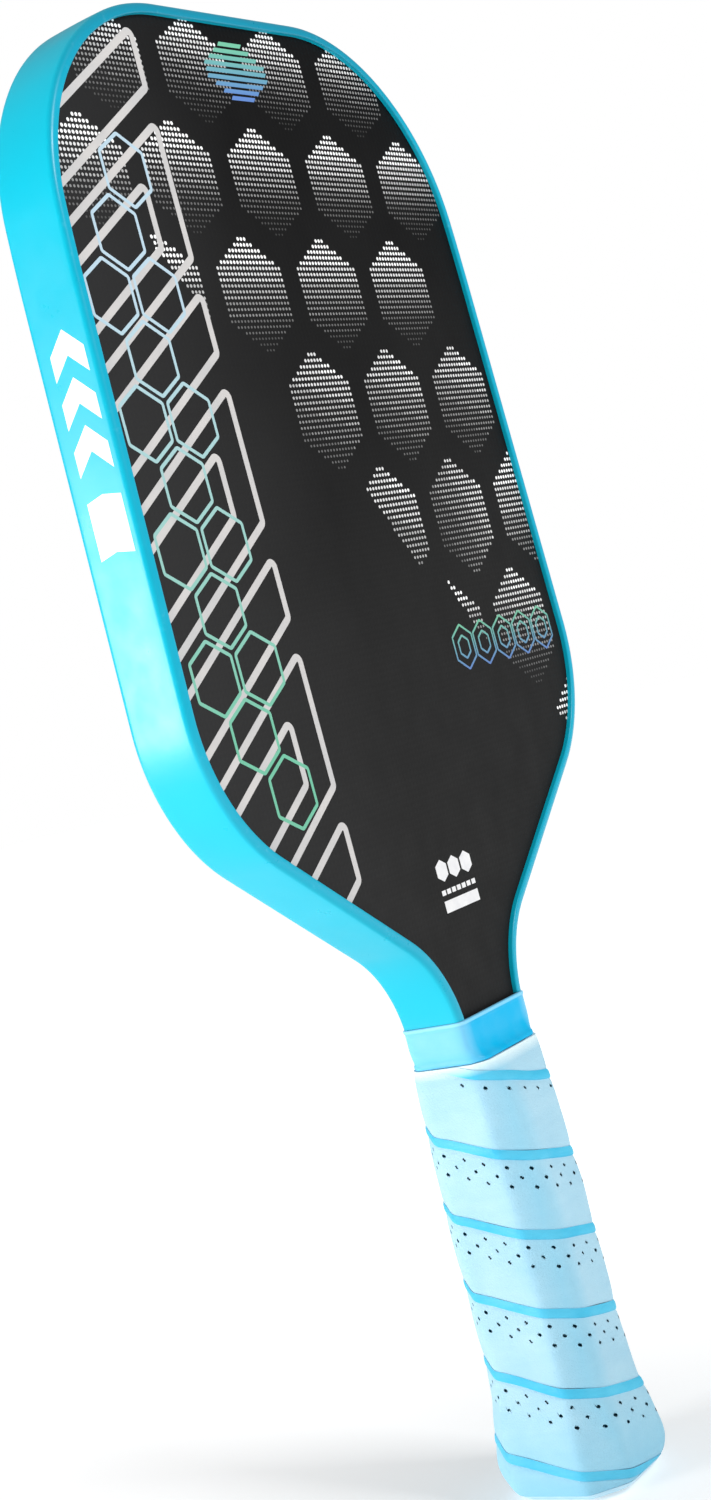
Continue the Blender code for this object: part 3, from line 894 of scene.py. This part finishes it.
def grip_mesh():
    """The strip as a closed solid: band, pad with its holes, and the side against the handle."""
    rows = strip_rows()
    first = -math.ceil(COLUMNS * (GRIP_HIGH + WRAP_PITCH - WRAP_SEAM_AT_FACING) / WRAP_PITCH)
    last = math.ceil(COLUMNS * (WRAP_SEAM_AT_FACING + WRAP_TILT * 2 - GRIP_LOW) / WRAP_PITCH)
    hole_rows = {rows.index(v): k for k, v in enumerate(HOLE_ROWS)}
    holes = set()
    for column in range(first + 2, last - 1):
        for row, k in hole_rows.items():
            if has_hole(column, k):
                holes.add((column, row))

    bm = bmesh.new()
    grid = {}
    for column in range(first, last + 1):
        for row, v in enumerate(rows):
            if (column, row) not in holes:
                grid[column, row] = bm.verts.new(wrap_point(column, v))
        edges = ((len(rows), WRAP_PITCH), (len(rows) + 1, 0.0))
        for row, v in edges:
            grid[column, row] = bm.verts.new(
                wrap_point(column, v, sink=pad_height(v) - GRIP_INSIDE)
            )
    count = len(rows) + 2
    for column in range(first, last):
        for row in range(count):
            below = (row + 1) % count
            keys = ((column, row), (column + 1, row), (column + 1, below), (column, below))
            if any(key in holes for key in keys):
                continue
            face = bm.faces.new([grid[key] for key in keys])
            face.material_index = 1 if row < len(rows) and rows[row] < BAND_WIDTH else 0
    for end in (first, last):
        bm.faces.new([grid[end, row] for row in range(count)])
    around = ((-1, -1), (0, -1), (1, -1), (1, 0), (1, 1), (0, 1), (-1, 1), (-1, 0))
    for column, row in sorted(holes):
        rim = [grid[column + dc, row + dr] for dc, dr in around]
        punch_hole(bm, rim, column, rows[row])
    return bm


def leather_finish(name, light, shade, grain_depth):
    """Soft synthetic leather: a fine pebble and faint creases along the strip, deeper cyan towards the
    butt end, painted shade along the front-left crease, and a painted glow under the collar.
    """
    finish = Finish(name, specular=0.35)
    cloud = finish.ranged(finish.noise(14.0, 3.0), 0.32, 0.68)
    creases = finish.noise(3.0, 3.0, finish.stretched(6.0, 6.0, 1.0))
    streak = finish.ranged(creases, 0.35, 0.75, 0.0, 0.35)
    share = finish.math("ADD", finish.math("MULTIPLY", cloud, 0.65), streak)
    cells = {"feature": "DISTANCE_TO_EDGE"}
    pebble = finish.node("TexVoronoi", cells, Vector=finish.place, Scale=1 / (PEBBLE_SIZE * MM))
    height = finish.math("ADD", finish.ranged(pebble.outputs[0], 0.0, 0.25), finish.noise(0.35, 2.0))
    rough = finish.ranged(finish.noise(5.0, 4.0), 0.3, 0.7, 0.50, 0.64)
    # Deeper cyan towards the butt end.
    toward_butt = finish.ranged(finish.axis("Z"), 0.030, 0.004, 0.0, 0.4)
    # Painted glow: the strip turns near white just under the collar.
    painted_glow = finish.ranged(finish.axis("Z"), 0.1212, 0.1242, 0.0, 0.8)
    # Painted shade: a band of deeper cyan along the front-left crease, on the front of the handle.
    from_crease = finish.math("ABSOLUTE", finish.math("ADD", finish.axis("X"), CREASE_SHADE_LEFT * MM))
    crease_shade_band = finish.ranged(from_crease, 0.0, 0.007, 0.34, 0.0)
    painted_crease_shade = finish.math("MULTIPLY", crease_shade_band, finish.ranged(finish.axis("Y"), -0.004, -0.010))
    tinted = finish.math("MAXIMUM", toward_butt, painted_crease_shade)
    colour = finish.mix(tinted, finish.mix(share, shade, light), srgb(96, 196, 228))
    return finish.set(finish.mix(painted_glow, colour, srgb(236, 252, 253)), rough, height, grain_depth)


def add_grip():
    bm = grip_mesh()
    trim(bm, GRIP_HIGH + GRIP_OVERRUN, keep_above=False)
    trim(bm, GRIP_LOW, keep_above=True)
    pad = leather_finish("grip_leather", srgb(175, 215, 232), srgb(159, 205, 226), 0.05)
    band = leather_finish("grip_band", srgb(92, 200, 232), srgb(44, 182, 222), 0.03)
    pit = mottled("grip_hole", srgb(18, 116, 146), srgb(10, 92, 122), 1.0, 0.8, specular=0.1)
    grip = add_piece("wound_grip", bm, [pad, band, pit], "grip_leather", sharp=45)
    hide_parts("grip_wrap")


def collar_point(angle, z, offset):
    """A point on the collar: the handle's octagon at the bottom, the neck's box at the top."""
    share = smoothstep(*COLLAR_SHOULDER, z)
    body = (
        BODY_HALF_WIDTH + COLLAR_FIT,
        smooth_table(BODY_STATIONS, z, 1) + COLLAR_FIT,
        smooth_table(BODY_STATIONS, z, 2) + BEVEL_SHARE * COLLAR_FIT,
    )
    half_width, half_depth, bevel = (a + (b - a) * share for a, b in zip(body, COLLAR_NECK))
    reach = octagon_reach(
        angle, half_width + offset, half_depth + offset, bevel + BEVEL_SHARE * offset, 44.0
    )
    return reach * math.cos(angle), reach * math.sin(angle), z


def collar_profile():
    """The collar's wall as (height, offset): up the outside over two beads, down the inside."""
    low, high = COLLAR_LOW, COLLAR_HIGH
    bead, wall = COLLAR_WALL + COLLAR_RIM, COLLAR_WALL
    outside = [(low, wall * 0.5), (low, wall), (low + 0.15, bead - 0.08), (low + 0.45, bead)]
    outside += [(low + 0.85, bead), (low + 1.2, bead - 0.08), (low + 1.5, wall)]
    rise = 10
    for i in range(1, rise):
        outside.append((low + 1.5 + (high - low - 2.7) * i / rise, wall))
    outside += [(high - 1.2, wall), (high - 1.0, bead - 0.08), (high - 0.7, bead)]
    outside += [(high - 0.3, bead), (high - 0.08, bead - 0.1), (high, wall), (high, wall * 0.5)]
    inside = [(z, 0.0) for z in (high, 133.0, 130.5, 128.5, 126.5, low)]
    return outside + inside


def collar_finish():
    """Smooth stretched rubber, bright cyan in front, with a painted sheen paling its sides."""
    finish = Finish("collar_rubber", specular=0.1)
    # Painted sheen: the sides are paler where the collar turns round them.
    painted_side_sheen = finish.ranged(finish.math("ABSOLUTE", finish.axis("X")), 0.0125, 0.0172)
    cloud = finish.ranged(finish.noise(6.0, 3.0), 0.35, 0.65, 0.0, 0.1)
    share = finish.math("ADD", finish.math("MULTIPLY", painted_side_sheen, 0.9), cloud)
    colour = finish.mix(share, srgb(0, 180, 230), srgb(128, 204, 238))
    rim = finish.ranged(finish.axis("Z"), (COLLAR_HIGH - 1.1) * MM, (COLLAR_HIGH - 0.8) * MM)
    colour = finish.mix(finish.math("MULTIPLY", rim, 0.6), colour, srgb(160, 225, 255))
    rough = finish.ranged(finish.noise(4.0, 4.0), 0.3, 0.7, 0.34, 0.46)
    return finish.set(colour, rough, finish.noise(0.9, 3.0), 0.015)


def add_collar():
    turns = [2 * math.pi * i / COLLAR_POINTS for i in range(COLLAR_POINTS)]
    rings = [[collar_point(a, z, offset) for a in turns] for z, offset in collar_profile()]
    bm = bmesh.new()
    loft(bm, rings, closed=True)
    collar = add_piece("stretched_collar", bm, [collar_finish()], "collar_rubber", sharp=60)
    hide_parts("grip_collar")


def add_cap():
    """The butt cap: recess for the badge, flat end, flared rim, and the socket under the grip."""
    turns = [2 * math.pi * i / COLUMNS for i in range(COLUMNS)]
    radius, depth = BADGE_RECESS
    rings = [[(radius * math.cos(a), radius * math.sin(a), z) for a in turns] for z in (depth, 0.0)]
    for z in (0.0, 0.15, 0.4, 0.8, 1.2, 1.8, 2.4, CAP_LEDGE):
        offset = GRIP_SKIN - 0.1 + smooth_table(FLARE, z)
        rings.append([handle_point(a, z, offset) for a in turns])
    socket = [CAP_LEDGE] + [z for z, _ in FLARE if CAP_LEDGE < z < CAP_TOP] + [CAP_TOP]
    for z in socket:
        rings.append([handle_point(a, z, CAP_SKIN + smooth_table(FLARE, z)) for a in turns])
    for z in (CAP_TOP, CAP_POCKET_FLOOR):
        rings.append([handle_point(a, z, CAP_POCKET) for a in turns])
    bm = bmesh.new()
    loft(bm, rings)
    finish = mottled("cap_plastic", srgb(196, 230, 244), srgb(182, 222, 240), 8.0, 0.45, 0.8, 0.02)
    cap = add_piece("flared_cap", bm, [finish], "cap_plastic", sharp=40)
    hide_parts("butt_cap")


# ---------------------------------------------------------------- CAD nodes that stay


def face_finish():
    """Matt carbon laminate: crossed tows under a fine peel-ply texture, with painted shade deepening the
    black towards the top and a painted sheen lightening the left side.
    """
    finish = Finish("carbon_face", specular=0.12)
    # Painted shade: the black deepens towards the top.
    height = finish.ranged(finish.axis("Z"), 0.22, 0.40)
    cloud = finish.ranged(finish.noise(35.0, 3.0), 0.3, 0.7, -0.15, 0.15)
    # Painted sheen: the left side turns a lighter grey.
    side = finish.ranged(finish.axis("X"), -0.09, -0.01, 0.45, 0.0)
    share = finish.math("SUBTRACT", finish.math("ADD", height, cloud), side)
    colour = finish.mix(share, srgb(29, 29, 29), srgb(5, 5, 6))
    colour = finish.mix(finish.math("MULTIPLY", side, 0.8), colour, srgb(58, 58, 59))
    waves = []
    for direction in ("X", "Z"):
        wave = finish.node(
            "TexWave", {"wave_type": "BANDS", "bands_direction": direction}, Vector=finish.place
        )
        wave.inputs["Scale"].default_value = 1 / (0.9 * MM) / (2 * math.pi)
        waves.append(wave.outputs["Fac"])
    weave = finish.math("MULTIPLY", *waves)
    grain = finish.math("ADD", weave, finish.noise(0.45, 3.0))
    rough = finish.ranged(finish.noise(9.0, 5.0), 0.3, 0.7, 0.52, 0.64)
    return finish.set(colour, rough, grain, 0.03)


def dress(nodes, finish):
    """Puts a finish on CAD nodes that are shown as they are."""
    for name in nodes:
        mesh = frame["nodes"][name].data
        mesh.materials.clear()
        mesh.materials.append(finish)


def dress_cad_nodes():
    dress(("front_face_sheet", "rear_face_sheet"), face_finish())
    film = mottled("bond_film", srgb(226, 222, 208), srgb(212, 208, 192), 3.0, 0.7, 0.4, 0.08)
    dress(("front_bond_film", "rear_bond_film"), film)
    core = mottled("core_plastic", srgb(226, 230, 232), srgb(212, 218, 222), 6.0, 0.4, 0.8, 0.03)
    dress(("honeycomb_core",), core)
    foam = mottled("edge_foam", srgb(222, 218, 206), srgb(206, 202, 190), 2.0, 0.85, 0.5, 0.15)
    dress(("perimeter_foam",), foam)
    tape = mottled("adhesive_tape", srgb(205, 198, 176), srgb(190, 182, 158), 5.0, 0.5, 0.6, 0.04)
    dress(("guard_bond_tape", "handle_tape", "finishing_tape"), tape)
    pallet = mottled("pallet_foam", srgb(58, 58, 60), srgb(44, 44, 47), 3.0, 0.75, 0.7, 0.12)
    dress(("front_handle_pallet", "rear_handle_pallet"), pallet)
    bright, dull = srgb(200, 202, 206), srgb(180, 183, 188)
    steel = mottled("staple_steel", bright, dull, 2.0, 0.28, 0.3, 0.01, metallic=1.0)
    dress(("front_cap_staple", "rear_cap_staple"), steel)
    badge = mottled("badge_plastic", srgb(60, 190, 226), srgb(44, 176, 216), 5.0, 0.4, 0.8, 0.02)
    dress(("butt_cap_badge",), badge)


# ---------------------------------------------------------------- stage, light and camera


def add_floor():
    mesh = bpy.data.meshes.new("studio_floor")
    size = FLOOR_HALF_SIZE
    corners = [(-size, -size), (size, -size), (size, size), (-size, size)]
    mesh.from_pydata([(x, y, FLOOR_HEIGHT) for x, y in corners], [], [(0, 1, 2, 3)])
    finish = Finish("studio_floor", specular=0.1)
    share = finish.ranged(finish.noise(400.0), 0.3, 0.7)
    finish.shader.inputs["Emission Color"].default_value = (1.0, 1.0, 1.0, 1.0)
    length = finish.node("VectorMath", {"operation": "LENGTH"}, _0=finish.place)
    distance = length.outputs["Value"]
    glow = finish.ranged(distance, *GLOW_REACH, *GLOW)
    finish.tree.links.new(glow, finish.shader.inputs["Emission Strength"])
    mesh.materials.append(finish.set(finish.mix(share, srgb(226, 226, 226), srgb(222, 222, 223)), 0.9))
    floor = bpy.data.objects.new("studio_floor", mesh)
    bpy.context.scene.collection.objects.link(floor)


def add_light(name, place, target, size, power, colour=(1.0, 1.0, 1.0)):
    light = bpy.data.lights.new(name, "AREA")
    light.shape = "RECTANGLE"
    light.size, light.size_y = size
    light.energy = power
    light.color = colour
    lamp = bpy.data.objects.new(name, light)
    lamp.location = place
    lamp.rotation_mode = "QUATERNION"
    lamp.rotation_quaternion = (Vector(target) - Vector(place)).to_track_quat("-Z", "Y")
    bpy.context.scene.collection.objects.link(lamp)


def add_world():
    world = bpy.data.worlds.new("studio")
    bpy.context.scene.world = world
    world.use_nodes = True
    nodes, links = world.node_tree.nodes, world.node_tree.links
    background = nodes["Background"]
    background.inputs["Color"].default_value = (1.0, 1.0, 1.0, 1.0)
    seen = nodes.new("ShaderNodeLightPath").outputs["Is Camera Ray"]
    strength = nodes.new("ShaderNodeMapRange")
    links.new(seen, strength.inputs["Value"])
    strength.inputs["To Min"].default_value = WORLD_LIGHT
    strength.inputs["To Max"].default_value = WORLD_SEEN
    links.new(strength.outputs[0], background.inputs["Strength"])


def add_camera():
    data = bpy.data.cameras.new("camera")
    data.lens = CAMERA_LENS
    data.sensor_width = 36.0
    data.clip_start = 0.01
    camera = bpy.data.objects.new("camera", data)
    place, target = Vector(CAMERA_PLACE), Vector(CAMERA_TARGET)
    camera.location = place
    camera.rotation_mode = "QUATERNION"
    roll = Quaternion((0.0, 0.0, 1.0), CAMERA_ROLL)
    camera.rotation_quaternion = (target - place).to_track_quat("-Z", "Y") @ roll
    bpy.context.scene.collection.objects.link(camera)
    bpy.context.scene.camera = camera


def add_studio():
    bpy.context.scene.view_settings.view_transform = "Standard"
    add_floor()
    add_world()
    centre = (0.0, 0.0, 0.25)
    add_light("left_softbox", (-1.18, 0.92, 0.26), centre, (0.5, 0.46), 19.0)
    add_light("front_softbox", (-0.1, -1.45, 1.25), centre, (0.45, 0.45), 18.0)
    add_camera()


# ---------------------------------------------------------------- the paddle


for item in list(bpy.data.objects):
    if item.type in ("CAMERA", "LIGHT") or item.name == "Cube":
        bpy.data.objects.remove(item, do_unlink=True)

dress_cad_nodes()
add_guard()
add_halftone()
add_silver_slashes()
add_thin_hexagons()
add_emblem()
add_side_mark()
add_seal()
add_guard_mark()
add_grip()
add_collar()
add_cap()
add_studio()
